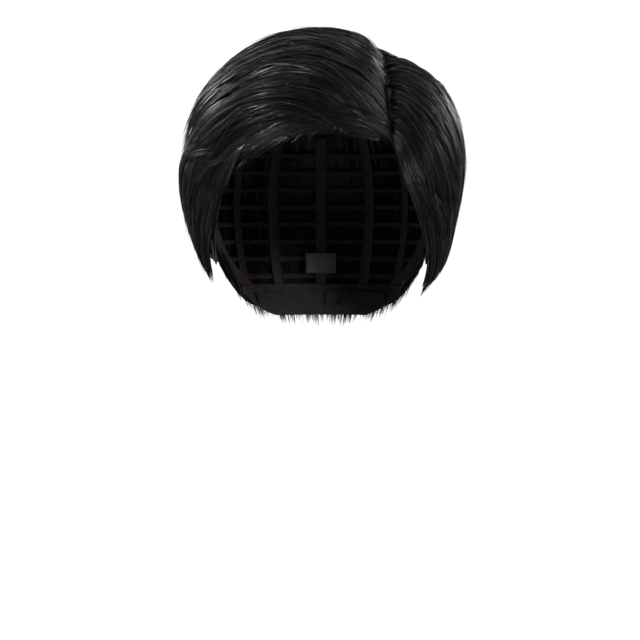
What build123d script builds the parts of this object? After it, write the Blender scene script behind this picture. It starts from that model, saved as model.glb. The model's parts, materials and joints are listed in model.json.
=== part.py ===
"""Short side-parted costume wig on a wefted cap, for an adult head.

Millimetres. The wearer faces -Y, +X is the wearer's left and +Z is up. The origin is the middle of
the head opening, level with the widest ring of the head. The cap is built in thin layers outside
the head's own form, and the hair is a set of soft masses that start where the layers end.
"""
import os

from build123d import *

# The head that the wig is cut for: half sizes, and the heights above and below the widest ring.
HEAD_HALF_WIDTH = 76
HEAD_HALF_LENGTH = 97
HEAD_CROWN = 90
HEAD_DROP = 130

# Cap layers, as distances outward from the head.
LINING = (0, 0.8)
NET = (0.9, 1.6)
WEFT = (1.7, 2.7)
LABEL = (-0.6, -0.1)
HAIR_ROOT = 3.0

# Hair outline: the widest ring, and where its middle lies behind the head's.
HAIR_HALF_WIDTH = 97
HAIR_HALF_LENGTH = 110
HAIR_SHIFT = 11
HAIR_CROWN = 116
HAIR_WIDEST_Z = 24
HAIR_DROP = 105
CROWN_FLAT = 12
SIDEBURN_THICKNESS = 9
NAPE_THICKNESS = 14
NAPE_TAPER = 12

# Where the hair is divided into masses.
PART_X = 47
FRINGE_Y = -38
CROWN_Y = 35
TEMPLE_X = -56
TEMPLE_Z = 45
NAPE_Z = -30
HAIR_BOTTOM = -86

# Cap edge in side view, from the forehead down to the ear tab, and from the ear to the nape.
RIM_FRONT = [(-76, 57), (-61, 42), (-57, 22), (-51, 8), (-42, -9), (-31, -24)]
RIM_EAR = [(-12, -24), (5, -19), (25, -27), (38, -46), (49, -58), (58, -70), (68, -79)]
RIM_BOTTOM = -79
CAP_SPLIT_Z = -57
SEAM_GAP = 0.5
INSET_STEP = 0.75

# Edge binding and fine lace: margins in from the cap's edge, and where the front pieces end.
BAND_WIDTH = 11
BAND_END = (-48, 15)
LACE_OVERHANG = 2
LACE_WIDTH = 5
LACE_END = (-50, 22)

# Nets, tapes and rows of weft: margins in from the cap's edge, and where each kind begins.
NET_MARGIN = 5
TRACK_MARGIN = 6
CROWN_TRACK_MARGIN = 4
CROWN_NET_Z = 44
SIDE_NET_Y = 36
TRACK_FRONT_Y = -32
CROWN_TRACK_Z = 48

# Hair edge in side view, which stands lower on the wearer's left temple than on the right.
HAIR_FRONT_LEFT = [(-90, 47), (-79, 43), (-75, 23), (-67, 4), (-61, -6), (-52, -17), (-46, -24)]
HAIR_FRONT_RIGHT = [(-90, 47), (-79, 43), (-64, 26), (-61, 14), (-56, 3), (-48, -9), (-35, -24)]
HAIR_EAR = [(18, -24), (34, -48), (44, -62), (54, -76), (64, HAIR_BOTTOM)]
HAIR_PEAK = (-104, 80)

# Sideburns in side view, below the ear tab's bend.
TAB_Z = -24
TAB_GAP = 1.2
SIDEBURN_LEFT = [(-46, -26), (-39, -35), (-32, -47), (-31, -63), (-20, -55), (-9, -44), (-4, -26)]
SIDEBURN_RIGHT = [(-35, -26), (-29, -36), (-25, -45), (-22, -56), (-14, -48), (-7, -37), (-4, -26)]
TAB_OUTLINE = [(-31, TAB_Z - TAB_GAP), (-28, -37), (-22, -42), (-16, -37), (-12, TAB_Z - TAB_GAP)]
TAB_HINGE_X = 73.5
TAB_SWING = 17
TAB_ROOM = 45

# Nape band: a strip of a cone about a vertical line, so that the adjusters slide along an arc.
NAPE_CENTRE_Y = 24
NAPE_RADIUS = 63.6
NAPE_TOP = -56
NAPE_SLOPE = 0.45
NAPE_BAND = (0, 0.9)
NAPE_WEFT = (1.0, 1.9)
NAPE_HAIR_ROOT = 2.2
NAPE_SPAN = 62
NAPE_TRACK_SPAN = 60
NAPE_ROOM_SPAN = 80
LOOP_TAPE = (-1.0, -0.1)
LOOP_SPAN = (3, 40)
ADJUSTER = (-2.2, -1.4)
ADJUSTER_Z = (-72, -62)
PAD_SPAN = (14, 28)
STRAP_SPAN = (28.5, 50)
STRAP_MARGIN = 1

TRACK_HEIGHT = 3.2
BACK_TRACKS = [-52, -40, -28, -16, -4, 8, 20, 32]
NAPE_TRACKS = [-64, -74]
CROWN_TRACKS = [-54, -40, -26, -12, 2, 16, 30]
BACK_TAPES = [-56, -28, 0, 28, 56]
TAPE_WIDTH = 7
PART_GAP = (PART_X - 8, PART_X + 7)
PATCH_X = (PART_X - 6, PART_X + 5)
PATCH_Y = (-70, 22)
PATCH_Z = 40
PATCH_MARGIN = 2
LABEL_HALF_WIDTH = 11
LABEL_Z = (-50, -36)
STAY_WIDTH = 3
STAY_BOTTOM = -40
SIDES = {"left": 1, "right": -1}

FAR = 140
parts = {}


def between(x=(-FAR, FAR), y=(-FAR, FAR), z=(-FAR, FAR)):
    """A box from its two limits along each axis."""
    box = Box(x[1] - x[0], y[1] - y[0], z[1] - z[0])
    return Pos((x[0] + x[1]) / 2, (y[0] + y[1]) / 2, (z[0] + z[1]) / 2) * box


def egg(half_width, half_length, crown, drop):
    """An egg shape: an ellipsoid that reaches up and down by different amounts."""
    top = EllipticalCenterArc((0, 0), half_width, crown, start_angle=0, arc_size=90)
    bottom = EllipticalCenterArc((0, 0), half_width, drop, start_angle=270, arc_size=90)
    section = make_face([top, bottom, Line((0, crown), (0, -drop))])
    return scale(revolve(Plane.XZ * section, Axis.Z), by=(1, half_length / half_width, 1))


def head(offset):
    """The head's form, grown outward by an offset."""
    return egg(
        HEAD_HALF_WIDTH + offset, HEAD_HALF_LENGTH + offset, HEAD_CROWN + offset, HEAD_DROP + offset
    )


def shell(layer):
    """A layer of the cap over the whole head."""
    return head(layer[1]) - head(layer[0])


def side_prism(outline, x=(-FAR, FAR)):
    """A side-view face, in Y and Z, drawn out along X."""
    return extrude(Plane.YZ.offset(x[0]) * outline, x[1] - x[0])


def side_face(front, back, peak=None):
    """The side-view face behind a front edge and above a back edge."""
    bottom = back[-1][1]
    start = [peak] if peak else []
    top_y = start[0][0] if peak else front[0][0]
    edges = [Spline(*front), Line(front[-1], back[0]), Spline(*back)]
    frame = [back[-1], (FAR, bottom), (FAR, FAR), (top_y, FAR)] + start + [front[0]]
    return make_face(edges + [Polyline(*frame)])


def cap_area(inset=0):
    """Everything that the cap covers, less a margin. Its edges all face forward and down."""
    step = inset * INSET_STEP
    return Pos(0, step, step) * side_prism(side_face(RIM_FRONT, RIM_EAR))


def nape_radius(z):
    return NAPE_RADIUS + (z - NAPE_TOP) * NAPE_SLOPE


def nape_ring(depth, height, angles):
    """A strip of the nape cone. Angles are counted from straight back, towards the left ear."""
    low, high = height
    inner, outer = depth
    section = Polyline(
        (nape_radius(low) + inner, low),
        (nape_radius(low) + outer, low),
        (nape_radius(high) + outer, high),
        (nape_radius(high) + inner, high),
        close=True,
    )
    ring = revolve(Plane.XZ * make_face(section), Axis.Z, angles[1] - angles[0])
    return Pos(0, NAPE_CENTRE_Y, 0) * Rot(0, 0, 90 - angles[1]) * ring


def mirrored(shape, side):
    return shape if side > 0 else mirror(shape, Plane.YZ)


def add(name, shape):
    parts[name] = shape


def make_bands():
    """The sewn binding all round the cap's edge, and the fine lace along the forehead."""
    rim = (shell(LINING) & cap_area()) - cap_area(BAND_WIDTH)
    rim = rim & between(z=(CAP_SPLIT_Z, FAR))
    front = between(y=(-FAR, BAND_END[0]), z=(BAND_END[1], FAR))
    add("forehead_band", rim & front)
    for name, side in SIDES.items():
        half = between(x=(0, FAR)) if side > 0 else between(x=(-FAR, 0))
        add(f"side_band_{name}", (rim & half) - front)
    lace = (shell(NET) & cap_area(-LACE_OVERHANG)) - cap_area(LACE_WIDTH)
    add("front_lace", lace & between(y=(-FAR, LACE_END[0]), z=(LACE_END[1], FAR)))


def make_nets():
    """The closed stretch net on the crown and one lace panel over each temple."""
    net = (shell(NET) & cap_area(NET_MARGIN)) & between(z=(CAP_SPLIT_Z, FAR))
    crown = between(z=(CROWN_NET_Z, FAR))
    add("crown_net", net & crown)
    for name, side in SIDES.items():
        x = (0, FAR) if side > 0 else (-FAR, 0)
        add(f"side_net_{name}", (net & between(x=x, y=(-FAR, SIDE_NET_Y))) - crown)


def make_back_tapes():
    """Upright elastic tapes that carry the open rows of weft at the back."""
    back = between(y=(SIDE_NET_Y, FAR), z=(CAP_SPLIT_Z, CROWN_NET_Z))
    layer = (shell(NET) & back) & cap_area(TRACK_MARGIN)
    for number, angle in enumerate(BACK_TAPES, start=1):
        strip = Rot(0, 0, -angle) * between(x=(-TAPE_WIDTH / 2, TAPE_WIDTH / 2), y=(0, FAR))
        add(f"back_tape_{number}", layer & (Pos(0, NAPE_CENTRE_Y, 0) * strip))


def make_tracks():
    """Rows of weft: level rows round the back and sides, and cross rows over the crown."""
    half = TRACK_HEIGHT / 2
    layer = shell(WEFT)
    low_area = layer & cap_area(TRACK_MARGIN)
    for number, z in enumerate(BACK_TRACKS, start=1):
        row = between(y=(TRACK_FRONT_Y, FAR), z=(z - half, z + half))
        add(f"weft_track_{number}", low_area & row)
    for number, z in enumerate(NAPE_TRACKS, start=1):
        row = nape_ring(NAPE_WEFT, (z - half, z + half), (-NAPE_TRACK_SPAN, NAPE_TRACK_SPAN))
        add(f"nape_track_{number}", row & cap_area(CROWN_TRACK_MARGIN))
    over_crown = layer & between(z=(CROWN_TRACK_Z, FAR)) & cap_area(CROWN_TRACK_MARGIN)
    for number, y in enumerate(CROWN_TRACKS, start=1):
        row = between(y=(y - half, y + half)) - between(x=PART_GAP)
        add(f"crown_track_{number}", over_crown & row)
    patch = between(x=PATCH_X, y=PATCH_Y, z=(PATCH_Z, FAR))
    add("part_patch", layer & cap_area(PATCH_MARGIN) & patch)


def make_nape():
    """The nape band with its two elastic adjusters, and a blank size label above it."""
    band = nape_ring(NAPE_BAND, (RIM_BOTTOM, CAP_SPLIT_Z - SEAM_GAP), (-NAPE_SPAN, NAPE_SPAN))
    add("nape_band", band & cap_area())
    strap_z = (ADJUSTER_Z[0] + STRAP_MARGIN, ADJUSTER_Z[1] - STRAP_MARGIN)
    for name, side in SIDES.items():
        pieces = {
            "loop_tape": nape_ring(LOOP_TAPE, ADJUSTER_Z, LOOP_SPAN),
            "adjuster_pad": nape_ring(ADJUSTER, ADJUSTER_Z, PAD_SPAN),
            "adjuster_strap": nape_ring(ADJUSTER, strap_z, STRAP_SPAN),
        }
        for piece, shape in pieces.items():
            add(f"{piece}_{name}", mirrored(shape, side))
    patch = between(x=(-LABEL_HALF_WIDTH, LABEL_HALF_WIDTH), y=(0, FAR), z=LABEL_Z)
    add("size_label", shell(LABEL) & patch)


def make_ear_tabs():
    """Lined ear tabs, each with a flat metal stay that keeps the bend it is given."""
    outline = make_face(Polyline(*TAB_OUTLINE, close=True))
    middle = (TAB_OUTLINE[1][0] + TAB_OUTLINE[3][0]) / 2
    stay_y = (middle - STAY_WIDTH / 2, middle + STAY_WIDTH / 2)
    for name, side in SIDES.items():
        x = (0, FAR) if side > 0 else (-FAR, 0)
        add(f"ear_tab_{name}", shell(LINING) & side_prism(outline, x))
        stay = between(x=x, y=stay_y, z=(STAY_BOTTOM, TAB_Z - TAB_GAP - SEAM_GAP))
        add(f"ear_stay_{name}", shell(NET) & stay)


def hair_form():
    """The outer form of the hair above the nape: full over the crown, drawn in below the ears."""
    reach = HAIR_HALF_WIDTH - CROWN_FLAT
    middle = (CROWN_FLAT, HAIR_WIDEST_Z)
    rise = HAIR_CROWN - HAIR_WIDEST_Z
    section = make_face([
        EllipticalCenterArc(middle, reach, rise, start_angle=0, arc_size=90),
        EllipticalCenterArc(middle, reach, HAIR_DROP, start_angle=270, arc_size=90),
        Polyline((CROWN_FLAT, HAIR_CROWN), (0, HAIR_CROWN), (0, HAIR_WIDEST_Z - HAIR_DROP),
                 (CROWN_FLAT, HAIR_WIDEST_Z - HAIR_DROP)),
    ])
    form = scale(revolve(Plane.XZ * section, Axis.Z), by=(1, HAIR_HALF_LENGTH / HAIR_HALF_WIDTH, 1))
    return Pos(0, HAIR_SHIFT, 0) * form


def nape_form():
    """The outer form of the hair at the nape, tapered towards the neck."""
    half_width = HEAD_HALF_WIDTH + NAPE_THICKNESS
    return egg(half_width, HEAD_HALF_LENGTH + NAPE_THICKNESS, HEAD_CROWN, HEAD_DROP - NAPE_TAPER)


def make_hair():
    """The hair masses that stay with the cap, divided at the part, the temples and the nape."""
    left = side_prism(side_face(HAIR_FRONT_LEFT, HAIR_EAR, HAIR_PEAK), (0, FAR))
    right = side_prism(side_face(HAIR_FRONT_RIGHT, HAIR_EAR, HAIR_PEAK), (-FAR, 0))
    area = left + right
    hair = (hair_form() - head(HAIR_ROOT)) & area
    ahead = between(y=(-FAR, CROWN_Y))
    behind = between(y=(CROWN_Y, FAR))
    right_temple = between(x=(-FAR, TEMPLE_X), z=(-FAR, TEMPLE_Z))
    upper = between(z=(NAPE_Z, FAR))
    swept = hair & between(x=(-FAR, PART_X), y=(-FAR, CROWN_Y))
    swept = swept - right_temple
    add("hair_fringe", swept & between(y=(-FAR, FRINGE_Y)))
    add("hair_top", swept & between(y=(FRINGE_Y, FAR)))
    add("hair_left_side", hair & ahead & between(x=(PART_X, FAR)) & upper)
    add("hair_right_side", hair & ahead & right_temple & upper)
    add("hair_crown", hair & behind & between(z=(TEMPLE_Z, FAR)))
    add("hair_back", hair & behind & between(z=(NAPE_Z, TEMPLE_Z)))
    nape = (nape_form() - head(HAIR_ROOT)) & area & between(z=(HAIR_BOTTOM, NAPE_Z))
    room = (-nape_radius(NAPE_TOP) / 2, NAPE_HAIR_ROOT)
    add("hair_nape", nape - nape_ring(room, (HAIR_BOTTOM, NAPE_TOP), (-NAPE_ROOM_SPAN, NAPE_ROOM_SPAN)))


def make_sideburns():
    """Sideburn hair on the ear tabs. Its top is cut back so that it can swing out with the tab."""
    outlines = {"left": SIDEBURN_LEFT, "right": SIDEBURN_RIGHT}
    mass = head(SIDEBURN_THICKNESS) - head(HAIR_ROOT)
    for name, side in SIDES.items():
        points = outlines[name]
        edge = [Spline(*points[:4]), Spline(*points[3:]), Line(points[-1], points[0])]
        x = (0, FAR) if side > 0 else (-FAR, 0)
        swing = Rot(0, TAB_SWING, 0) * between(x=(-TAB_ROOM, TAB_ROOM), z=(0, TAB_ROOM))
        clear = mirrored(Pos(TAB_HINGE_X, 0, TAB_Z - TAB_GAP) * swing, side)
        add(f"sideburn_{name}", (mass & side_prism(make_face(edge), x)) - clear)


def main():
    make_bands()
    make_nets()
    make_back_tapes()
    make_tracks()
    make_nape()
    make_ear_tabs()
    make_hair()
    make_sideburns()
    os.makedirs("parts", exist_ok=True)
    for name, shape in parts.items():
        export_step(shape, f"parts/{name}.step")


main()
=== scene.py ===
"""Looks for the costume wig: combed hair over a sewn cap, with light and camera.

The hair is made in millimetres, in the wig's own frame: -Y is the face, +X the wearer's left and
+Z up. Each mass of hair is a sheet of strand lines that gives its outer surface. Locks
of strands start on the cap under that sheet, rise to it and follow its lines to their tips.
"""
import json
import math

import bpy
import numpy as np
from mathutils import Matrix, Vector


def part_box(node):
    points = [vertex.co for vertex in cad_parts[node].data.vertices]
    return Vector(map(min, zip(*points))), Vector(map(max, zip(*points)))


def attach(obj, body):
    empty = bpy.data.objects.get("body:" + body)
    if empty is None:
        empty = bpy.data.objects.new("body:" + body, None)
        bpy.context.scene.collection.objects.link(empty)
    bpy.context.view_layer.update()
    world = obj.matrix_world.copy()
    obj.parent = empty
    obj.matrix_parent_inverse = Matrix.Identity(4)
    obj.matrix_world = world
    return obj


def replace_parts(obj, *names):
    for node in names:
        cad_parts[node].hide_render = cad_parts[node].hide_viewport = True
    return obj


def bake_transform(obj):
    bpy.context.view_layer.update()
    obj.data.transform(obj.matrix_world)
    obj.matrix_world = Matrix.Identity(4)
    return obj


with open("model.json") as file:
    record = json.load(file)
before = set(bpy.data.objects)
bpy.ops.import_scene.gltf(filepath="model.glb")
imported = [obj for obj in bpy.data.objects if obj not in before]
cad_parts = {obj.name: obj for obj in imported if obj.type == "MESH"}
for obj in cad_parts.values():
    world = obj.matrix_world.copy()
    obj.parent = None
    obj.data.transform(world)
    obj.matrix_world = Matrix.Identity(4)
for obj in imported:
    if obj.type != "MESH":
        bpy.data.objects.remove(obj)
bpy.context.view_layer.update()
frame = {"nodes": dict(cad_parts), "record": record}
MM = 0.001
rng = np.random.default_rng(11)

# The head form under the cap, from the cap net's box: the net lies NET_DEPTH outside the head.
NET_DEPTH = 1.6
NET_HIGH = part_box("crown_net")[1]
HEAD_CROWN = NET_HIGH[2] / MM - NET_DEPTH
HEAD_HALF = (76.0, 97.0)
HEAD_DROP = 130.0
HAIR_ROOT = 3.2

# Strands: places of their rings from root to tip, width in mm, tapers, how many one mesh holds, how
# they climb, gather, sway and stray, and how far the tones of locks, wisps and strands differ. BODY_
# is for the dense form under them: its levels, grid and ridges, and where it fades, as shares.
RINGS = 8
STEPS = np.linspace(0, 1, RINGS + 1) ** 1.2
STRAND_WIDTH = 0.36
BODY_FROM = 0.08
BODY_EDGE = 0.3
BODY_GRID = (220, 46)
BODY_RIDGES = 6
BODY_RIDGE_HIGH = 0.022
BODY_INSET = 0.035
ROOT_TAPER = 0.15
TIP_TAPER = 0.85
BODY_FADES = (0.04, 0.12, 0.1)
PIECE_STRANDS = 4200
CLIMB_RUN = 0.35
TIP_GATHER = 0.7
SWAY_TURN = 2.6
WILD_SPREAD = (3.0, 2.2)
TONE_SPREADS = (0.2, 0.12, 0.12)
# Finishes of the fibre: name, darkest and lightest colour, roughness and specular level. Then the
# share of wisps that has each finish. The mostly dull shares put duller, darker strands where shade
# falls: partly a real duller finish, partly painted shade.
HAIR_FINISHES = [
    ("hair_dull", (0.0016, 0.0015, 0.0018), (0.008, 0.0065, 0.0062), 0.50, 0.22),
    ("hair_silky", (0.0025, 0.0023, 0.003), (0.016, 0.0125, 0.012), 0.36, 0.5),
    ("hair_glossy", (0.006, 0.005, 0.0065), (0.035, 0.027, 0.027), 0.28, 0.95),
]
MIXED = (0.42, 0.36, 0.22)
MOSTLY_DULL_PAINTED_SHADE = (0.75, 0.2, 0.05)


# ---------------- the hair's outer surfaces
# Each row is one strand line on the outside of the hair, from its root end to its tips.
SWEEP = [
    [(48, -67, 41), (24, -81.5, 47), (0, -84.5, 50.5), (-24, -82.5, 46.5), (-47, -74, 35),
     (-65, -61, 24), (-81, -44, 11), (-91, -24, 1)],
    [(48, -64, 57), (28, -80, 67), (4, -90, 75), (-22, -88, 75), (-48, -79, 66), (-71, -58, 50),
     (-87, -35, 34), (-95.5, -11, 22)],
    [(47, -55, 75), (29, -67, 87), (4, -75, 95), (-22, -73, 96), (-47, -64, 88), (-70, -46, 73),
     (-86, -26, 56), (-96.5, -3, 36)],
    [(46, -42, 90), (29, -49, 102), (5, -54, 109), (-20, -53, 109), (-45, -47, 101), (-67, -34, 86),
     (-84, -16, 67), (-96, 3, 39)],
    [(44, -22, 99), (29, -26, 110), (6, -28, 116), (-18, -27, 115), (-43, -24, 107), (-66, -17, 91),
     (-84, -5, 69), (-95.5, 10, 37)],
    [(42, 0, 102), (27, 0, 112), (6, 0, 116.5), (-17, 0, 115), (-42, 1, 107), (-66, 3, 91),
     (-84, 8, 68), (-95, 20, 35)],
    [(39, 22, 103), (26, 25, 111), (7, 27, 114), (-16, 27, 112), (-41, 27, 104), (-64, 26, 88),
     (-82, 26, 66), (-94, 32, 33)],
    [(37, 40, 103), (24, 48, 106.5), (8, 57, 105.5), (-12, 64, 102), (-34, 70, 94), (-54, 73, 80),
     (-71, 71, 60), (-83, 63, 34)],
    [(36, 47, 103.5), (28, 66, 100.5), (18, 83.5, 92.5), (6, 99.5, 80.5), (-6, 111.5, 64), (-15, 116, 46),
     (-20, 118, 30)],
]
LEFT_SIDE = [
    [(47, -66, 44), (53, -73, 34), (57, -73, 20), (63, -67, 6), (68, -57, -8), (71.5, -47, -22),
     (73.5, -39, -36), (73, -34, -49), (67, -32, -62)],
    [(46, -63, 58), (56, -65, 49), (68, -67, 28), (74, -61, 10), (78, -52, -8), (80, -43, -24),
     (79.5, -36, -38), (76, -33, -50), (68, -31, -62)],
    [(45, -54, 75), (57, -56, 68), (72, -57, 51), (84, -50, 26), (87, -42, 4), (87, -34, -16),
     (85, -30, -32), (79.5, -29, -47), (69, -30, -61)],
    [(44, -40, 89), (58, -42, 84), (77, -40, 69), (91, -34, 44), (94, -28, 18), (92.5, -22, -6),
     (88.5, -20, -26), (82.5, -21, -43), (72, -26, -57)],
    [(43, -20, 99), (59, -20, 95), (79, -18, 82), (92, -14, 57), (97, -10, 28), (94.5, -5, 2),
     (90.5, -3, -19), (86, -4, -34), (80, -9, -46)],
    [(41, 2, 102.5), (60, 3, 99), (78, 4, 85), (91, 6, 62), (97, 8, 34), (95, 11, 8),
     (91.5, 13, -12), (88, 14, -27), (84, 14, -39)],
    [(38, 24, 104), (56, 27, 98), (72, 29, 85), (86, 30, 62), (94, 31, 34), (93, 33, 8),
     (90, 35, -14), (87, 38, -32), (80, 42, -49)],
]
RIGHT_SIDE = [
    [(-50, -71, 43), (-59, -67.5, 30), (-65.5, -62, 17), (-70, -55, 3), (-73.5, -47, -9),
     (-76.5, -37, -20), (-77.5, -28, -31), (-76.5, -22, -43), (-74, -19, -54)],
    [(-56, -58, 50), (-67, -55, 37), (-75, -49, 20), (-80.5, -43, 3), (-83, -36, -9), (-83.5, -29, -20),
     (-82, -24, -32), (-79, -20, -43), (-74, -18, -54)],
    [(-68, -40, 56), (-78, -36, 41), (-86.5, -30, 21), (-90, -25, 3), (-89, -20, -9), (-87, -17, -20),
     (-84, -15, -31), (-80, -15, -42), (-74.5, -17, -53)],
    [(-80, -17, 62), (-89, -14, 44), (-95, -10, 25), (-95, -7, 7), (-93, -4, -6), (-90, -3, -18),
     (-86.5, -4, -29), (-82, -8, -40), (-76.5, -12, -49)],
    [(-81, 8, 64), (-90, 9, 45), (-95, 10, 26), (-95, 12, 8), (-92.5, 14, -6), (-90, 16, -17),
     (-87, 18, -26), (-84, 19, -34), (-80, 20, -41)],
    [(-79, 30, 64), (-88, 31, 44), (-93.5, 32, 24), (-93, 34, 6), (-91, 36, -9), (-89, 39, -21),
     (-87, 42, -31), (-83, 46, -41), (-77, 50, -52)],
]
# The back, from ear to ear: heights from crown to nape, the share of the full width there, and how
# far each line reaches down.
BACK_HEIGHTS = [112, 108, 103, 95, 81, 62, 30, 0, -28, -52, -72, -87]
BACK_WIDTHS = [0.16, 0.34, 0.50, 0.65, 0.80, 0.92, 1.0, 0.975, 0.89, 0.80, 0.70, 0.62]
BACK_HALF = (96.0, 110.0)
BACK_CENTRE_Y = 11.0
BACK_ANGLES = [14, 36, 60, 90, 120, 144, 166]
BACK_REACH = [0.5, 0.84, 0.96, 1.0, 0.96, 0.84, 0.5]


def back_rows():
    """Strand lines down the back, shorter towards the ears."""
    rows = []
    for angle, reach in zip(BACK_ANGLES, BACK_REACH):
        turn = math.radians(angle)
        row = []
        for z, width in zip(BACK_HEIGHTS, BACK_WIDTHS):
            x = BACK_HALF[0] * width * math.cos(turn)
            y = BACK_CENTRE_Y + BACK_HALF[1] * width * math.sin(turn)
            row.append((x, y, z if z > 0 else z * reach))
        rows.append(row)
    return rows


# ---------------- curve and surface arithmetic
def through(points, places):
    """A smooth curve through points, read at places from 0 to 1, evenly spaced by point."""
    points = np.asarray(points, float)
    last = len(points) - 1
    ends = np.concatenate([2 * points[:1] - points[1:2], points, 2 * points[-1:] - points[-2:-1]])
    spot = np.clip(np.asarray(places) * last, 0, last - 1e-9)
    index = spot.astype(int)
    t = (spot - index).reshape((-1,) + (1,) * (points.ndim - 1))
    a, b, c, d = (ends[index + k] for k in range(4))
    return 0.5 * (2 * b + (c - a) * t + (2 * a - 5 * b + 4 * c - d) * t**2 + (3 * b - a - 3 * c + d) * t**3)


def run_along(line):
    """How far along a line each of its points is."""
    return np.concatenate([[0], np.cumsum(np.linalg.norm(np.diff(line, axis=0), axis=1))])


def read_line(line, run, want):
    """Points at wanted distances along a line."""
    return np.stack([np.interp(want, run, line[:, k]) for k in range(3)], axis=1)


def even_row(row, count):
    """A row read at places evenly spaced along its length."""
    fine = through(row, np.linspace(0, 1, 200))
    run = run_along(fine)
    return read_line(fine, run, np.linspace(0, run[-1], count))


def make_sheet(rows, count=72, across=96):
    """The outer surface of a hair mass as a grid: across the rows first, along them second."""
    even = np.array([even_row(row, count) for row in rows])
    return through(even, np.linspace(0, 1, across))


def read_sheet(sheet, u, v):
    """Points on a sheet at u along the strands and v across them."""
    across, count = sheet.shape[:2]
    row = np.clip(v, 0, 1) * (across - 1)
    col = np.clip(u, 0, 1) * (count - 1)
    i = np.minimum(row.astype(int), across - 2)
    j = np.minimum(col.astype(int), count - 2)
    fi = (row - i)[..., None]
    fj = (col - j)[..., None]
    near = sheet[i, j] * (1 - fj) + sheet[i, j + 1] * fj
    far = sheet[i + 1, j] * (1 - fj) + sheet[i + 1, j + 1] * fj
    point = near * (1 - fi) + far * fi
    past_tip = (np.maximum(u - 1, 0) * (count - 1))[..., None]
    past_first = (np.minimum(v, 0) * (across - 1))[..., None]
    past_last = (np.maximum(v - 1, 0) * (across - 1))[..., None]
    point = point + (sheet[i, -1] - sheet[i, -3]) / 2 * past_tip
    point = point + (sheet[1, j] - sheet[0, j]) * past_first
    return point + (sheet[-1, j] - sheet[-2, j]) * past_last


def on_scalp(points):
    """Points moved straight in towards the middle of the head, onto the cap's outside."""
    drop = np.where(points[..., 2] > 0, HEAD_CROWN, HEAD_DROP) + HAIR_ROOT
    half = np.array(HEAD_HALF) + HAIR_ROOT
    size = np.sqrt(
        (points[..., 0] / half[0]) ** 2 + (points[..., 1] / half[1]) ** 2 + (points[..., 2] / drop) ** 2
    )
    return points / np.maximum(size, 1e-6)[..., None]


def unit(vectors):
    return vectors / np.maximum(np.linalg.norm(vectors, axis=-1, keepdims=True), 1e-9)


# ---------------- locks, wisps and strands
def grow(sheet, plan):
    """Centre lines, tones and widths of strands. Each lock holds wisps, and each wisp strands."""
    locks, wisps, strands = plan["count"]
    one, two, three = (locks, 1, 1), (locks, wisps, 1), (locks, wisps, strands, 1)
    width = np.linalg.norm(np.diff(sheet[:, sheet.shape[1] // 2], axis=0), axis=1).sum()
    s = STEPS[None, None, :]
    u0 = plan["root"](rng.random(one)) + 0.02 * rng.random(two)
    length = rng.uniform(*plan["length"], one) * rng.uniform(0.7, 1.1, two)
    u1 = np.minimum(u0 + length, plan["end"][0] + plan["end"][1] * rng.random(two))
    u = u0 + (u1 - u0) * s
    turn = np.clip((u - u0) / CLIMB_RUN, 0, 1)
    v = rng.uniform(*plan["across"], one)
    v = v + plan["climb"] * (1 - v) * np.clip(1 - 2 * u0, 0, 1) * turn * (2 - turn)
    v = v + rng.normal(0, plan["lock_width"], two) / width * (1 - plan["gather"] * s**1.3)
    v = v + (rng.normal(0, plan["drift"], one) + rng.normal(0, plan["cross"], two)) / width * s
    top = plan["top"] - plan["depth"] * rng.random(one) - 0.04 * rng.random(two)
    low, rise = plan["emerge"]
    level = top * (1 - (1 - low) * np.exp(-s / (rise * rng.uniform(0.7, 1.3, two))))

    outer = read_sheet(sheet, u, v)
    inner = on_scalp(outer)
    line = inner + (outer - inner) * level[..., None]
    along = unit(np.gradient(line, axis=2))
    out = unit(outer - inner)
    side = unit(np.cross(along, out))

    close = (1 - TIP_GATHER * np.clip((u - 0.7) / 0.3, 0, 1))[:, :, None]
    s = STEPS[None, None, None, :]
    wave = plan["sway"] * rng.normal(0, 1, (*two, 1))
    phase = rng.random((*two, 1)) * math.tau
    sway = wave * (np.sin(SWAY_TURN * s + phase) - np.sin(phase))
    lift = plan["lift"] * np.abs(rng.normal(0, 1, (*one, 1))) * s**2.5
    angle = rng.random(three) * math.tau
    radius = plan["wisp"] * np.sqrt(rng.random(three)) * (1 - plan["clump"] * s**1.2)
    a = radius * np.cos(angle) + rng.normal(0, plan["stray"], three) * s**1.5
    b = radius * np.sin(angle) * 0.6 + rng.normal(0, plan["stray"] * 0.5, three) * s**2
    wild = rng.random(three) < plan["wild"]
    a = a + wild * rng.normal(0, WILD_SPREAD[0], three) * s**2
    b = b + wild * np.abs(rng.normal(0, WILD_SPREAD[1], three)) * s**1.5
    a = (a + sway) * close
    b = (b + lift) * close
    points = line[:, :, None] + side[:, :, None] * a[..., None] + out[:, :, None] * b[..., None]
    points = trim(points, 1 - plan["ragged"] * rng.random(three))

    shapes = zip(TONE_SPREADS, ((*one, 1), (*two, 1), three))
    tone = np.clip(0.5 + sum(spread * rng.normal(0, 1, shape) for spread, shape in shapes), 0, 1)
    thick = plan["thick"] * rng.uniform(0.75, 1.25, three)
    finish = np.searchsorted(np.cumsum(plan["finishes"]), rng.random((*two, 1))) + np.zeros(three)
    number = locks * wisps * strands
    return points.reshape(number, RINGS + 1, 3), tone.ravel(), thick.ravel(), finish.ravel().astype(int)


def trim(points, keep):
    """Each strand cut to a share of its length, with its rings spread over what is left."""
    place = np.arange(RINGS + 1) * keep
    index = np.minimum(place.astype(int), RINGS - 1)
    t = (place - index)[..., None]
    low = np.take_along_axis(points, index[..., None], axis=3)
    high = np.take_along_axis(points, index[..., None] + 1, axis=3)
    return low * (1 - t) + high * t


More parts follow.
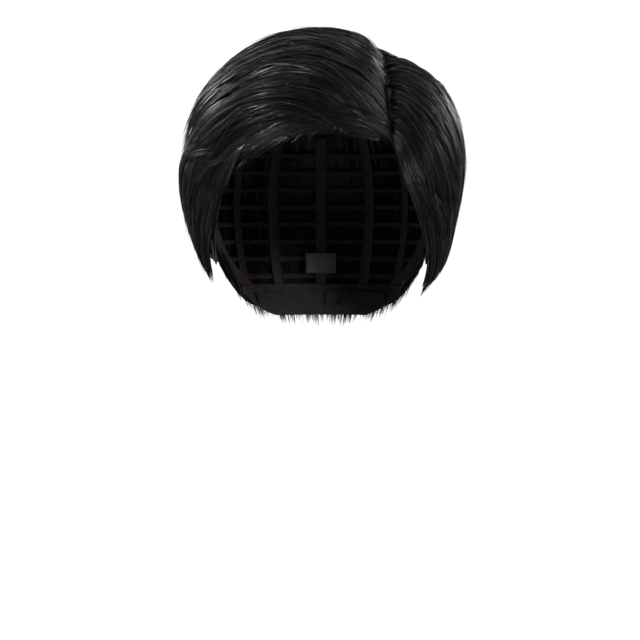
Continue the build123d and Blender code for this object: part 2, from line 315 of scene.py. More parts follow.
def strand_mesh(name, points, tone, thick, finish):
    """One mesh of closed three-sided strands that taper to their tips."""
    strands, rings = points.shape[:2]
    along = unit(np.gradient(points, axis=1))
    out = unit(points - np.array([0, 8.0, 0]))
    side = unit(np.cross(along, out))
    up = np.cross(side, along)
    s = STEPS[None, :, None, None]
    taper = np.where(s == 0, ROOT_TAPER, 1 - s**2.5 * TIP_TAPER)
    half = STRAND_WIDTH / 2 * thick[:, None, None, None] * taper
    turn = np.array([90, 210, 330]) * math.pi / 180
    ring = side[:, :, None] * np.cos(turn)[:, None] + up[:, :, None] * np.sin(turn)[:, None] * 0.7
    verts = (points[:, :, None] + ring * half)[:, :-1].reshape(strands, -1, 3)
    verts = np.concatenate([verts, points[:, -1:]], axis=1) * MM
    per = verts.shape[1]
    k, e = 3 * np.arange(rings - 2)[:, None], np.arange(3)
    a, b = k + e, k + (e + 1) % 3
    quads = np.stack([a, a + 3, b + 3, b], -1).reshape(-1, 4)
    top = 3 * (rings - 2)
    tris = [(top + (e + 1) % 3, top + e, per - 1) for e in range(3)] + [(0, 1, 2)]
    base = (np.arange(strands) * per)[:, None, None]
    quad_loops = (quads[None] + base).reshape(strands, -1)
    tri_loops = (np.array(tris)[None] + base).reshape(strands, -1)
    loops = np.concatenate([quad_loops, tri_loops], axis=1).ravel()
    sizes = np.tile([4] * len(quads) + [3] * len(tris), strands)
    mesh = bpy.data.meshes.new(name)
    mesh.vertices.add(strands * per)
    mesh.vertices.foreach_set("co", verts.astype(np.float32).ravel())
    mesh.loops.add(len(loops))
    mesh.loops.foreach_set("vertex_index", loops.astype(np.int32))
    mesh.polygons.add(len(sizes))
    mesh.polygons.foreach_set("loop_start", np.concatenate([[0], np.cumsum(sizes)[:-1]]).astype(np.int32))
    mesh.polygons.foreach_set("material_index", np.repeat(finish, len(quads) + len(tris)).astype(np.int32))
    shade = mesh.attributes.new("tone", "FLOAT", "POINT")
    shade.data.foreach_set("value", np.repeat(tone, per).astype(np.float32))
    mesh.update()
    mesh.validate()
    return hair_piece(name, mesh)


def add_object(name, data):
    thing = bpy.data.objects.new(name, data)
    bpy.context.scene.collection.objects.link(thing)
    return thing


def new_piece(name, mesh, materials):
    """A smooth mesh as a piece in the scene, with its materials."""
    mesh.shade_smooth()
    for material in materials:
        mesh.materials.append(material)
    piece = add_object(name, mesh)
    return piece


def hair_piece(name, mesh):
    return new_piece(name, mesh, [hair_material(*finish) for finish in HAIR_FINISHES])


def strand_pieces(name, *strands):
    """Strands as one or more pieces, each within the strand limit."""
    pieces = []
    for number, start in enumerate(range(0, len(strands[0]), PIECE_STRANDS), start=1):
        part = slice(start, start + PIECE_STRANDS)
        pieces.append(strand_mesh(f"{name}_{number}", *(column[part] for column in strands)))
    return pieces


def add_body(name, sheet, level, start=0.55, span=(0.0, 0.97), sides=(0.0, 1.0)):
    """The dense hair under the loose strands: a closed, finely ridged form that thins at its edges."""
    columns, rows = BODY_GRID
    u, v = np.meshgrid(np.linspace(*span, rows), np.linspace(*sides, columns))
    outer = read_sheet(sheet, u, v)
    inner = on_scalp(outer)
    inner = inner + (outer - inner) * BODY_FROM
    at_side, at_tip, at_root = BODY_FADES
    edge_v = np.clip(np.minimum(v - sides[0], sides[1] - v) / at_side, 0, 1)
    edge_v = BODY_EDGE + (1 - BODY_EDGE) * edge_v
    edge_u = np.clip((span[1] - u) / at_tip, 0, 1)
    edge_u = edge_u * (start + (1 - start) * np.clip((u - span[0]) / at_root, 0, 1))
    ridge = rng.normal(0, 1, (columns, BODY_RIDGES))
    ridge = through(ridge.T, np.linspace(0, 1, rows)).T * BODY_RIDGE_HIGH
    share = np.clip((level + ridge) * np.sqrt(edge_v * edge_u), 0, 1)
    top = inner + (outer - inner) * share[..., None]
    mesh = closed_mesh(name, top, inner)
    # The tone stays 0, the darkest hair colour, and every face takes the dull finish: painted shade on the
    # form seen in the gaps between locks.
    mesh.attributes.new("tone", "FLOAT", "POINT")
    return hair_piece(name, mesh)


def closed_mesh(name, outer, inner):
    """A smooth closed mesh between two like grids of points."""
    columns, rows = outer.shape[:2]
    index = np.arange(columns * rows).reshape(columns, rows)
    a, b, c, d = index[:-1, :-1], index[:-1, 1:], index[1:, 1:], index[1:, :-1]
    upper = np.stack([a, b, c, d], -1).reshape(-1, 4)
    lower = upper[:, ::-1] + columns * rows
    loop = np.concatenate([index[0, :-1], index[:-1, -1], index[-1, :0:-1], index[:0:-1, 0]])
    after = np.roll(loop, -1)
    rim = np.stack([after, loop, loop + columns * rows, after + columns * rows], -1)
    verts = np.concatenate([outer.reshape(-1, 3), inner.reshape(-1, 3)]) * MM
    mesh = bpy.data.meshes.new(name)
    mesh.from_pydata(verts.tolist(), [], np.concatenate([upper, lower, rim]).tolist())
    face_outward(mesh)
    return mesh


def face_outward(mesh):
    """Turns a closed mesh's faces over if they face inward, as a negative volume tells."""
    mesh.calc_loop_triangles()
    points = np.empty(len(mesh.vertices) * 3)
    mesh.vertices.foreach_get("co", points)
    corners = np.empty(len(mesh.loop_triangles) * 3, int)
    mesh.loop_triangles.foreach_get("vertices", corners)
    a, b, c = points.reshape(-1, 3)[corners.reshape(-1, 3)].transpose(1, 0, 2)
    if np.einsum("ij,ij->i", a, np.cross(b, c)).sum() < 0:
        mesh.flip_normals()


# ---------------- materials
BUMP_STRENGTH = 0.8


def new_material(name, roughness, colour=None):
    """A material, its node tree and its shader's inputs."""
    material = bpy.data.materials.new(name)
    material.use_nodes = True
    tree = material.node_tree
    inputs = tree.nodes["Principled BSDF"].inputs
    inputs["Roughness"].default_value = roughness
    if colour:
        inputs["Base Color"].default_value = (*colour, 1)
    return material, tree, inputs


def hair_material(name, dark, light, roughness, gloss):
    """Near-black fibre: each strand has its own tone between two colours."""
    if name in bpy.data.materials:
        return bpy.data.materials[name]
    material, tree, inputs = new_material(name, roughness)
    tone = tree.nodes.new("ShaderNodeAttribute")
    tone.attribute_name = "tone"
    colour_ramp(tree, tone.outputs["Fac"], dark, light)
    inputs["Specular IOR Level"].default_value = gloss
    return material


def math_node(tree, operation, *values):
    node = tree.nodes.new("ShaderNodeMath")
    node.operation = operation
    for socket, value in zip(node.inputs, values):
        if isinstance(value, (int, float)):
            socket.default_value = value
        else:
            tree.links.new(value, socket)
    return node.outputs["Value"]


def colour_ramp(tree, factor, dark, light, ends=(0.0, 1.0)):
    """The shader's colour, from dark to light as a factor goes from one end to the other."""
    ramp = tree.nodes.new("ShaderNodeValToRGB")
    for element, colour, end in zip(ramp.color_ramp.elements, (dark, light), ends):
        element.color = (*colour, 1)
        element.position = end
    tree.links.new(factor, ramp.inputs["Fac"])
    tree.links.new(ramp.outputs["Color"], tree.nodes["Principled BSDF"].inputs["Base Color"])


def texture(tree, kind, place, scale, **settings):
    """A texture node that is read at a place."""
    node = tree.nodes.new(f"ShaderNodeTex{kind}")
    for name, value in {"Scale": scale, **settings}.items():
        node.inputs[name].default_value = value
    tree.links.new(place, node.inputs["Vector"])
    return node.outputs


def own_place(tree):
    return tree.nodes.new("ShaderNodeTexCoord").outputs["Object"]


def mapped_place(tree, setting, value):
    """Places in the piece's own frame, turned or scaled before a texture reads them."""
    mapping = tree.nodes.new("ShaderNodeMapping")
    mapping.inputs[setting].default_value = value
    tree.links.new(own_place(tree), mapping.inputs["Vector"])
    return mapping.outputs["Vector"]


def add_bump(tree, height, depth):
    bump = tree.nodes.new("ShaderNodeBump")
    bump.inputs["Strength"].default_value = BUMP_STRENGTH
    bump.inputs["Distance"].default_value = depth * MM
    tree.links.new(height, bump.inputs["Height"])
    tree.links.new(bump.outputs["Normal"], tree.nodes["Principled BSDF"].inputs["Normal"])


# ---------------- stage, light and camera
FLOOR_Z = -0.30
CAMERA_AWAY = 2.25
VIEW_WIDTH = 0.4333
VIEW_CENTRE = (-0.0007, 0.0, -0.080)
AMBIENT = 0.06
FLOOR_GLOW = 0.95
LIGHTS_AIM = (0, 0, 0.03)
# Each light's name, place, size and power.
LIGHTS = [
    ("key", (-1.6, -1.1, 1.25), 0.6, 60),
    ("crest", (0.9, 0.2, 1.9), 0.5, 7),
    ("top", (-0.3, -0.7, 2.1), 0.6, 13),
    ("low_side", (1.8, -1.3, 0.1), 0.6, 20),
    ("inside", (0.1, -1.9, -0.7), 0.5, 15),
    ("rim_right", (-1.7, 0.95, 0.9), 0.7, 22),
    ("rim_left", (1.7, 0.95, 0.7), 0.7, 46),
]


def make_stage():
    mesh = bpy.data.meshes.new("floor")
    half, rise, curve, steps = 3.0, 3.5, 1.2, 24
    profile = [(-half, 0.0)]
    for k in range(steps + 1):
        turn = math.pi / 2 * k / steps
        profile.append((half - curve + curve * math.sin(turn), curve - curve * math.cos(turn)))
    profile.append((half, rise))
    verts = [(x, y, FLOOR_Z + z) for y, z in profile for x in (-half * 1.5, half * 1.5)]
    faces = [(2 * k, 2 * k + 1, 2 * k + 3, 2 * k + 2) for k in range(len(profile) - 1)]
    mesh.from_pydata(verts, [], faces)
    mesh.shade_smooth()
    mesh.materials.append(floor_material())
    add_object("floor", mesh)


def floor_material():
    """A white sweep that glows a little to the eye, and that can be seen through from below."""
    material, tree, inputs = new_material("pale_floor", 0.95, (0.2, 0.2, 0.2))
    path = tree.nodes.new("ShaderNodeLightPath")
    glow = math_node(tree, "MULTIPLY", path.outputs["Is Camera Ray"], FLOOR_GLOW)
    tree.links.new(glow, inputs["Emission Strength"])
    inputs["Emission Color"].default_value = (1, 1, 1, 1)
    side = tree.nodes.new("ShaderNodeNewGeometry")
    tree.links.new(math_node(tree, "SUBTRACT", 1.0, side.outputs["Backfacing"]), inputs["Alpha"])
    return material


def add_light(name, place, size, power):
    light = bpy.data.lights.new(name, "AREA")
    light.shape = "DISK"
    light.size = size
    light.energy = power
    aim_at(add_object(name, light), place, LIGHTS_AIM)


def aim_at(thing, place, target):
    thing.location = place
    thing.rotation_euler = (Vector(target) - Vector(place)).to_track_quat("-Z", "Y").to_euler()


def make_lights():
    """The lamps, and a world that is white to the eye but gives little light."""
    for light in LIGHTS:
        add_light(*light)
    world = bpy.data.worlds.new("studio")
    world.use_nodes = True
    tree = world.node_tree
    background = tree.nodes["Background"].inputs
    background["Color"].default_value = (1, 1, 1, 1)
    path = tree.nodes.new("ShaderNodeLightPath")
    strength = math_node(tree, "MULTIPLY_ADD", path.outputs["Is Camera Ray"], 1.0 - AMBIENT, AMBIENT)
    tree.links.new(strength, background["Strength"])
    bpy.context.scene.world = world
    bpy.context.scene.view_settings.view_transform = "Standard"


def make_camera():
    data = bpy.data.cameras.new("camera")
    data.lens = data.sensor_width * CAMERA_AWAY / VIEW_WIDTH
    data.clip_end = 50
    camera = add_object("camera", data)
    aim_at(camera, (VIEW_CENTRE[0], -CAMERA_AWAY, 0.0), VIEW_CENTRE)
    bpy.context.scene.camera = camera


# ---------------- the hair itself
def from_part(share):
    """Root places: a share of the locks start right at the part, the rest further along."""
    def place(r):
        return np.where(r < share, 0.05 * r / share, 0.62 * (r - share) / (1 - share))
    return place


def anywhere(low, high):
    """Root places spread evenly between two places along the sheet."""
    def place(r):
        return low + (high - low) * r
    return place


# What a plan of locks says. Counts are locks, wisps in each and strands in each wisp; root, length,
# end and across are shares of the sheet; lock_width, drift, cross, sway, wisp, stray and lift are mm.
DEEP = {
    "count": (200, 8, 9), "root": from_part(0.4), "length": (0.4, 0.8), "end": (0.92, 0.12),
    "across": (0.0, 1.0), "climb": 0.0, "lock_width": 3.0, "gather": 0.5, "drift": 3.0, "cross": 2.0,
    "top": 0.95, "depth": 0.3, "emerge": (0.7, 0.04), "sway": 0.5, "wisp": 0.9, "clump": 0.6,
    "stray": 0.5, "lift": 0.4, "wild": 0.02, "ragged": 0.3, "thick": 1.0,
    "finishes": MIXED,
}
LOOSE = {
    **DEEP, "count": (75, 6, 9), "root": anywhere(0.0, 0.75), "length": (0.2, 0.45), "gather": 0.75,
    "lock_width": 2.6, "drift": 8.0, "cross": 3.5, "top": 1.01, "depth": 0.05, "emerge": (0.85, 0.08),
    "sway": 0.8, "wisp": 0.6, "clump": 0.75, "lift": 0.9, "wild": 0.04, "ragged": 0.4, "thick": 0.9,
}
INNER = {
    **DEEP, "count": (40, 6, 8), "root": anywhere(0.0, 0.8), "length": (0.15, 0.4), "top": 0.08,
    "depth": 0.06, "emerge": (0.5, 0.2), "lift": 0.0, "wild": 0.0,
}
DOWNY = {
    **DEEP, "count": (150, 1, 6), "root": anywhere(0.0, 0.8), "length": (0.05, 0.12), "lock_width": 0,
    "across": (-0.03, 0.03), "depth": 0.45, "emerge": (0.5, 0.3), "wisp": 1.5, "clump": 0,
    "stray": 1.2, "thick": 0.4,
}
ROOTS = {
    **DEEP, "root": anywhere(0.0, 0.03), "length": (0.12, 0.3), "wisp": 1.2, "clump": 0.3, "ragged": 0.5,
}
EDGE = {**DEEP, "count": (30, 6, 8), "across": (-0.01, 0.1), "depth": 0.4}
UNDER = {**DEEP, "count": (40, 6, 8), "across": (0.05, 0.6), "depth": 0.8}
SIDE_INNER = {**INNER, "count": (30, 6, 8)}
SIDE_DOWNY = {**DOWNY, "count": (60, 1, 6)}


def hair_groups():
    """For each mass: its sheet, its body's level and start, the nodes it stands for and its plans."""
    return {
        "swept": (make_sheet(SWEEP), (0.72, 0.4), ["hair_fringe", "hair_top"], [
            {**DEEP, "climb": 0.16, "emerge": (0.6, 0.06)},
            {**ROOTS, "count": (110, 6, 8), "climb": 0.1, "emerge": (0.45, 0.12), "top": 0.98},
            {**LOOSE, "climb": 0.1},
            # The next two plans run along the fringe's lower edge with mostly dull, darker strands: painted
            # shade.
            {**DEEP, "count": (60, 6, 9), "across": (-0.01, 0.09), "root": anywhere(0.0, 0.6),
             "depth": 0.4, "stray": 0.3, "finishes": MOSTLY_DULL_PAINTED_SHADE},
            {**DEEP, "count": (50, 5, 8), "across": (-0.01, 0.05), "root": anywhere(0.0, 0.35),
             "climb": 0.2, "length": (0.25, 0.5), "emerge": (0.4, 0.2), "top": 1.02, "depth": 0.1,
             "stray": 0.3, "finishes": MOSTLY_DULL_PAINTED_SHADE},
            DOWNY,
            INNER,
            {**DOWNY, "count": (40, 1, 6), "root": anywhere(0.0, 0.05), "across": (0.3, 0.8), "top": 1.05,
             "depth": 0.1, "lift": 3.0, "emerge": (0.9, 0.3), "thick": 0.5},
        ]),
        "left": (make_sheet(LEFT_SIDE), (0.7, 0.4), ["hair_left_side"], [
            # The left side's deep and root strands are mostly dull and darker: painted shade.
            {**DEEP, "count": (130, 8, 9), "emerge": (0.55, 0.06), "finishes": MOSTLY_DULL_PAINTED_SHADE},
            {**ROOTS, "count": (60, 6, 8), "emerge": (0.4, 0.12), "finishes": MOSTLY_DULL_PAINTED_SHADE},
            {**LOOSE, "count": (56, 6, 9), "drift": 5.0, "root": anywhere(0.18, 0.75)},
            EDGE,
            {**UNDER, "root": anywhere(0.5, 0.7)},
            SIDE_INNER,
            SIDE_DOWNY,
        ]),
        "right": (make_sheet(RIGHT_SIDE), (0.68, 0.3), ["hair_right_side"], [
            {**DEEP, "count": (110, 8, 9), "root": anywhere(0.0, 0.5), "emerge": (0.75, 0.1)},
            {**LOOSE, "count": (36, 6, 9), "drift": 5.0, "root": anywhere(0.1, 0.7)},
            EDGE,
            {**UNDER, "root": anywhere(0.4, 0.7)},
            SIDE_INNER,
            SIDE_DOWNY,
        ]),
        "back": (make_sheet(back_rows()), (0.76, 0.6), ["hair_crown", "hair_back", "hair_nape"], [
            {**DEEP, "count": (245, 8, 9), "root": from_part(0.25)},
            {**LOOSE, "count": (80, 6, 9)},
            {**DEEP, "count": (180, 6, 8), "root": anywhere(0.66, 0.86), "length": (0.15, 0.35),
             "end": (0.985, 0.035), "depth": 0.85, "ragged": 0.12, "wisp": 1.4, "lock_width": 4.0,
             "gather": 0.2, "clump": 0.3, "lift": 0.0, "wild": 0.0},
            {**INNER, "count": (70, 6, 8)},
        ]),
    }


# Strands whose tips end in front of the first place and below the second belong to the sideburn.
TAB_TIPS = (-2.0, -20.0)


def ride_tab(piece):
    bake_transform(piece)


def make_hair():
    for name, (sheet, (level, start), nodes, plans) in hair_groups().items():
        grown = [grow(sheet, plan) for plan in plans]
        strands = [np.concatenate(column) for column in zip(*grown)]
        if name in ("left", "right"):
            tips = strands[0][:, -1]
            on_tab = (tips[:, 1] < TAB_TIPS[0]) & (tips[:, 2] < TAB_TIPS[1])
            locks = strand_pieces(f"sideburn_{name}_hair", *(column[on_tab] for column in strands))
            for piece in locks:
                ride_tab(piece)
            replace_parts(locks[0], f"sideburn_{name}")
            strands = [column[~on_tab] for column in strands]
        pieces = strand_pieces(f"{name}_hair", *strands)
        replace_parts(pieces[0], *nodes)
        sides = (BODY_INSET, 1.0) if name == "swept" else (0.0, 1.0)
        body = add_body(f"{name}_body", sheet, level, start, sides=sides)
        if name in ("left", "right"):
            ride_tab(body)
        else:
            pieces.append(body)
        for piece in pieces:
            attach(piece, "root")


# ---------------- the sewn cap
# Faces and middles of the cap's layers, as distances outward from the head. All lengths are in mm.
LABEL_OUT = -0.35
LINING_FACE = -0.05
ROLL_MIDDLE = 0.4
TAPE_FACE = 0.82
LACE_MIDDLE = 1.1
NET_MIDDLE = 1.25
WEFT_FACE = 1.62
# The same for what lies on the nape band, as distances outward from the band's inner face.
NAPE_WEFT_FACE = 0.95
LOOP_FACE = -1.05
PAD_BACK = -1.42
STRAP_DEPTH = -1.8
PAD_FACE = -2.25

# The cap's edge in side view, as (y, z), one step in from it for each mm of inset, and its sewing.
RIM_FRONT = [(-76, 57), (-61, 42), (-57, 22), (-51, 8), (-42, -9), (-31, -24)]
RIM_EAR = [(-12, -24), (5, -19), (25, -27), (38, -46), (49, -58)]
RIM_STEP = 0.75
BAND_STITCHES = (1.6, 9.4)
ROLL_INSET = 0.2
ROLL_RADIUS = 0.55
STITCH = (2.2, 1.1)
STITCH_LIFT = 0.12
THREAD = 0.16
TUBE_SIDES = 3
SIGNS = {"left": 1, "right": -1}

# The nape band as a cone round a line behind the middle of the head, and the heights of its seams.
NAPE_CENTRE_Y = 24
NAPE_RADIUS = 63.6
NAPE_TOP = -56
NAPE_SLOPE = 0.45
NAPE_SEAMS = (-58.7, -60.0, -77.2)
LOOP_SEAMS = (-62.5, -71.5)
LOOP_SPAN = (3.5, 39.5)

# Rows of weft: heights at the back, places on the crown and heights on the nape band. They stop at
# the parting patch. WEFT_READS says how far round each kind is read, and at how many places.
BACK_TRACKS = [-52, -40, -28, -16, -4, 8, 20, 32]
CROWN_TRACKS = [-54, -40, -26, -12, 2, 16, 30]
NAPE_TRACKS = [-64, -74]
TRACK_END = 1.5
PART_GAP = (38, 55)
PART_BACK = 33
SEAM_HALF = 1.0
SEAM_LEAST = 9
WEFT_READS = ((3.0, 700), (1.2, 240), (60, 200))
WEFT_THREAD = 0.14

# Elastic tapes down the back: directions in degrees, heights, half width and lace pattern.
BACK_TAPES = [-56, -28, 0, 28, 56]
TAPE_CENTRE_Y = 24
TAPE_Z = (-54, 43)
TAPE_HALF = 3.2
TAPE_CROSSINGS = 44
TAPE_LOOPS = 22
TAPE_LOOP_WIDTH = 0.9

# Nets: size of a cell, radius of the thread, inset from the cap's edge, half sizes of the flat field
# and the gap left at the middle of the head.
NET_CELL = 2.6
NET_THREAD = 0.2
NET_INSET = 6
SIDE_FIELD = (97, 60)
SIDE_NET_GAP = 20
LACE_CELL = 1.3
LACE_THREAD = 0.1
LACE_EDGES = (-1.8, 4.5)
LACE_FIELD = (97, 70)
LACE_GAP = 6

# Ear tabs: their edge in side view, as (y, z), the radius of the binding and how far in the seam is.
TAB_EDGE = [(-30, -26), (-27.2, -36.6), (-22, -41), (-16.8, -36.6), (-13, -26)]
TAB_ROLL_RADIUS = 0.5
TAB_SEAM = 0.78

# Adjusters: degrees along the nape band, heights, the pads' hooks and the straps' weave.
PAD_SPAN = (15.0, 26.4)
HOOK_Z = (-70.9, -63.1)
HOOK_STEP = 0.9
HOOK_HIGH = 0.34
HOOK_LEAN = 0.3
HOOK_CURL = 2.4
HOOK_RADIUS = 0.07
STRAP_SPAN = (27.2, 50.5)
STRAP_Z = (-71, -63)
STRAP_HALF = 0.32
STRAP_GRIP = 0.28
STRAP_RIBS = (9, 0.09)
STRAP_PICKS = (26, 0.04)

# The size label: half width, the distance it turns about, heights, thickness, curl and weave.
LABEL_HALF = 11
LABEL_REACH = 92
LABEL_Z = (-50, -36)
LABEL_THICK = 0.16
LABEL_CURL = 0.9
LABEL_WAVE = 0.12
LABEL_WEAVE = (210, 130, 0.025)
LABEL_SEAM_CURL = 0.72
LABEL_SEAM_RISE = 0.3


def ring_room(z, offset):
    """What is left of the head's level ring at a height, as a share: 1 at the widest ring."""
    drop = np.where(z > 0, HEAD_CROWN, HEAD_DROP) + offset
    return 1 - (z / drop) ** 2


def side_wall(flat, side, offset):
    """Places in side view, laid on one side of the head. Those that miss the head get x = 0."""
    y, z = flat.T
    room = ring_room(z, offset) - (y / (HEAD_HALF[1] + offset)) ** 2
    x = side * (HEAD_HALF[0] + offset) * np.sqrt(np.maximum(room, 0))
    return np.stack([x, y, z], -1)


def side_line(flat, side, offset):
    """A line in side view laid on one side of the head, as far as it meets the head."""
    points = side_wall(flat, side, offset)
    return points[points[:, 0] != 0]


def ring_point(angle, z, offset, centre_y=0.0):
    """Points on the head in a direction from a centre line, counted from straight back to the left."""
    dx, dy = np.sin(angle), np.cos(angle)
    half_x, half_y = HEAD_HALF[0] + offset, HEAD_HALF[1] + offset
    a = (dx / half_x) ** 2 + (dy / half_y) ** 2
    b = 2 * centre_y * dy / half_y**2
    c = (centre_y / half_y) ** 2 - ring_room(z, offset)
    reach = (-b + np.sqrt(np.maximum(b * b - 4 * a * c, 0))) / (2 * a)
    return np.stack([reach * dx, centre_y + reach * dy, z + 0 * reach], -1)


def arch_point(angle, y, offset):
    """Points on the head in a level slice across it, counted from straight up to the left."""
    half = np.array(HEAD_HALF) + offset
    crown = HEAD_CROWN + offset
    room = 1 - (y / half[1]) ** 2
    reach = np.sqrt(room / ((np.sin(angle) / half[0]) ** 2 + (np.cos(angle) / crown) ** 2))
    return np.stack([reach * np.sin(angle), y + 0 * reach, reach * np.cos(angle)], -1)


def nape_point(angle, z, depth):
    """Points on the nape band, counted in degrees from straight back to the left."""
    radius = NAPE_RADIUS + (z - NAPE_TOP) * NAPE_SLOPE + depth
    turn = np.radians(angle)
    x, y = radius * np.sin(turn), NAPE_CENTRE_Y + radius * np.cos(turn)
    return np.stack([x, y, z + 0 * x], -1)


def tube_piece(name, lines, radius, slot, body="root", material=None):
    """Closed tubes along lines of points, as one piece, in its slot's cloth unless told otherwise."""
    verts, quads, caps = [], [], []
    turn = np.arange(TUBE_SIDES) * math.tau / TUBE_SIDES
    e = np.arange(TUBE_SIDES)
    f = (e + 1) % TUBE_SIDES
    start = 0
    for line in lines:
        along = unit(np.gradient(line, axis=0))
        side = unit(np.cross(along, unit(line)))
        up = np.cross(side, along)
        ring = side[:, None] * np.cos(turn)[:, None] + up[:, None] * np.sin(turn)[:, None]
        verts.append((line[:, None] + ring * radius).reshape(-1, 3))
        k = start + np.arange(len(line) - 1)[:, None] * TUBE_SIDES
        quads.append(np.stack([k + e, k + e + TUBE_SIDES, k + f + TUBE_SIDES, k + f], -1).reshape(-1, 4))
        last = start + (len(line) - 1) * TUBE_SIDES
        caps += [(start + e).tolist(), (last + e[::-1]).tolist()]
        start += len(line) * TUBE_SIDES
    mesh = bpy.data.meshes.new(name)
    mesh.from_pydata((np.concatenate(verts) * MM).tolist(), [], np.concatenate(quads).tolist() + caps)
    piece = new_piece(name, mesh, [material or cloth_material(slot)])
    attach(piece, body)
    return piece


def stitch_piece(name, stitches, slot, body="root"):
    return tube_piece(name, stitches, THREAD, slot, body, cloth_material("sewing_thread"))


def cut_stitches(line):
    """Running stitches along a line: short arcs that rise from the cloth, towards the head."""
    run = run_along(line)
    stitches = []
    for start in np.arange(0.5, run[-1] - STITCH[0], sum(STITCH)):
        points = read_line(line, run, start + STITCH[0] * np.linspace(0, 1, 5))
        bow = np.sin(np.linspace(0, math.pi, 5))[:, None] * STITCH_LIFT
        stitches.append(points - unit(points) * bow)
    return stitches


def zigzag(low, high, count):
    """A zigzag thread between two lines of points."""
    places = np.linspace(0, 1, count)
    a, b = through(low, places), through(high, places)
    odd = (np.arange(count) % 2 == 1)[:, None]
    return np.where(odd, b, a)


def rim_line(inset, side, offset):
    """A line beside the cap's edge, from the middle of the forehead, round the ear, to the nape."""
    front = through(RIM_FRONT, np.linspace(0, 1, 120))
    ear = through(RIM_EAR, np.linspace(0, 1, 90))
    return side_line(np.concatenate([front, ear]) + inset * RIM_STEP, side, offset)


def add_band_sewing():
    """A rolled edge and two rows of stitches on the cap's binding, on both sides."""
    rolls, stitches = [], []
    for side in SIGNS.values():
        rolls.append(rim_line(ROLL_INSET, side, ROLL_MIDDLE))
        for inset in BAND_STITCHES:
            stitches += cut_stitches(rim_line(inset, side, LINING_FACE))
    tube_piece("rim_roll", rolls, ROLL_RADIUS, "cap_lining")
    stitch_piece("rim_stitches", stitches, "cap_lining")


def add_nape_sewing():
    """Running stitches along the nape band's edges and round its two strips of loop tape."""
    angles = np.linspace(-58, 58, 160)
    stitches = []
    for z in NAPE_SEAMS:
        stitches += cut_stitches(nape_point(angles, z, LINING_FACE))
    for side in SIGNS.values():
        for z in LOOP_SEAMS:
            stitches += cut_stitches(nape_point(side * np.linspace(*LOOP_SPAN, 60), z, LOOP_FACE))
    stitch_piece("nape_stitches", stitches, "cap_lining")


def add_weft_sewing():
    """Zigzag stitching and two cords along every row of weft, on the side that meets the head."""
    round_back, over_crown, degrees = (np.linspace(-end, end, count) for end, count in WEFT_READS)
    rows = [
        ("weft", BACK_TRACKS, lambda z: ring_point(round_back, z + 0 * round_back, WEFT_FACE)),
        ("crown", CROWN_TRACKS, lambda y: arch_point(over_crown, y, WEFT_FACE)),
        ("nape", NAPE_TRACKS, lambda z: nape_point(degrees, z, NAPE_WEFT_FACE)),
    ]
    lines = []
    for kind, places, row in rows:
        for number, place in enumerate(places, start=1):
            corner, far = (np.array(corner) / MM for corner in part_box(f"{kind}_track_{number}"))
            low, high = row(place - SEAM_HALF), row(place + SEAM_HALF)
            mid = (low + high) / 2
            keep = ((mid > corner + TRACK_END) & (mid < far - TRACK_END))[:, :2].all(axis=1)
            keep &= (mid[:, 0] < PART_GAP[0]) | (mid[:, 0] > PART_GAP[1]) | (mid[:, 1] > PART_BACK)
            for run in runs_of(keep, SEAM_LEAST):
                lines += [low[run], high[run], zigzag(low[run], high[run], len(run))]
    tube_piece("weft_stitches", lines, WEFT_THREAD, "weft", material=cloth_material("sewing_thread"))


def add_tape_lace():
    """Lace pattern on each elastic tape: crossed zigzags between two cords, with loops at the edges."""
    z = np.linspace(*TAPE_Z, 130)
    for number, angle in enumerate(BACK_TAPES, start=1):
        turn = math.radians(angle)
        across = np.array([math.cos(turn), -math.sin(turn), 0.0])
        middle = ring_point(np.full(len(z), turn), z, TAPE_FACE, TAPE_CENTRE_Y)
        edges = [middle + across * TAPE_HALF * side for side in (-1, 1)]
        lines = edges + [zigzag(*edges, TAPE_CROSSINGS), zigzag(*edges[::-1], TAPE_CROSSINGS)]
        places = np.linspace(0, 1, 260)
        loops = np.abs(np.sin(places * TAPE_LOOPS * math.pi))[:, None] * TAPE_LOOP_WIDTH
        for side, edge in zip((-1, 1), edges):
            lines.append(through(edge, places) + across * side * loops)
        tube_piece(f"tape_lace_{number}", lines, NET_THREAD, "lace_tape")


def net_lines(project, field, cell, inside):
    """Threads of a six-sided net over a flat field, each broken where it leaves the net."""
    lines = []
    width, height = field
    shift = np.array([1, 1, -1, -1]) * cell * 0.25
    steps = np.array([0.3, 0.7, 0.3, 0.7]) * cell
    rows = int(2 * height / cell / 0.5)
    along = -height + np.concatenate([[0], np.cumsum(np.resize(steps, rows))])
    for column in range(int(2 * width / cell) + 1):
        sway = np.resize(shift if column % 2 else -shift, len(along))
        points = project(np.stack([-width + column * cell + sway, along], -1))
        lines += [points[run] for run in runs_of(inside(points), 3)]
    return lines


def runs_of(keep, least):
    """The unbroken runs of places to keep, from a given length up."""
    cuts = np.flatnonzero(np.diff(keep.astype(int))) + 1
    return [run for run in np.split(np.arange(len(keep)), cuts) if keep[run[0]] and len(run) >= least]


def behind_rim(points, inset):
    """Which points lie inside the cap's edge by a margin."""
    edge = np.array(RIM_FRONT[::-1]) + inset * RIM_STEP
    ear = np.array(RIM_EAR) + inset * RIM_STEP
    y, z = points[:, 1], points[:, 2]
    front = y > np.interp(z, edge[:, 1], edge[:, 0])
    return front & (z > np.interp(y, ear[:, 0], ear[:, 1], left=ear[0, 1]))


def crown_dome(flat):
    """Places seen from above, laid on the crown."""
    x, y = flat.T
    half_x, half_y = HEAD_HALF[0] + NET_MIDDLE, HEAD_HALF[1] + NET_MIDDLE
    room = 1 - (x / half_x) ** 2 - (y / half_y) ** 2
    return np.stack([x, y, (HEAD_CROWN + NET_MIDDLE) * np.sqrt(np.maximum(room, 0))], -1)


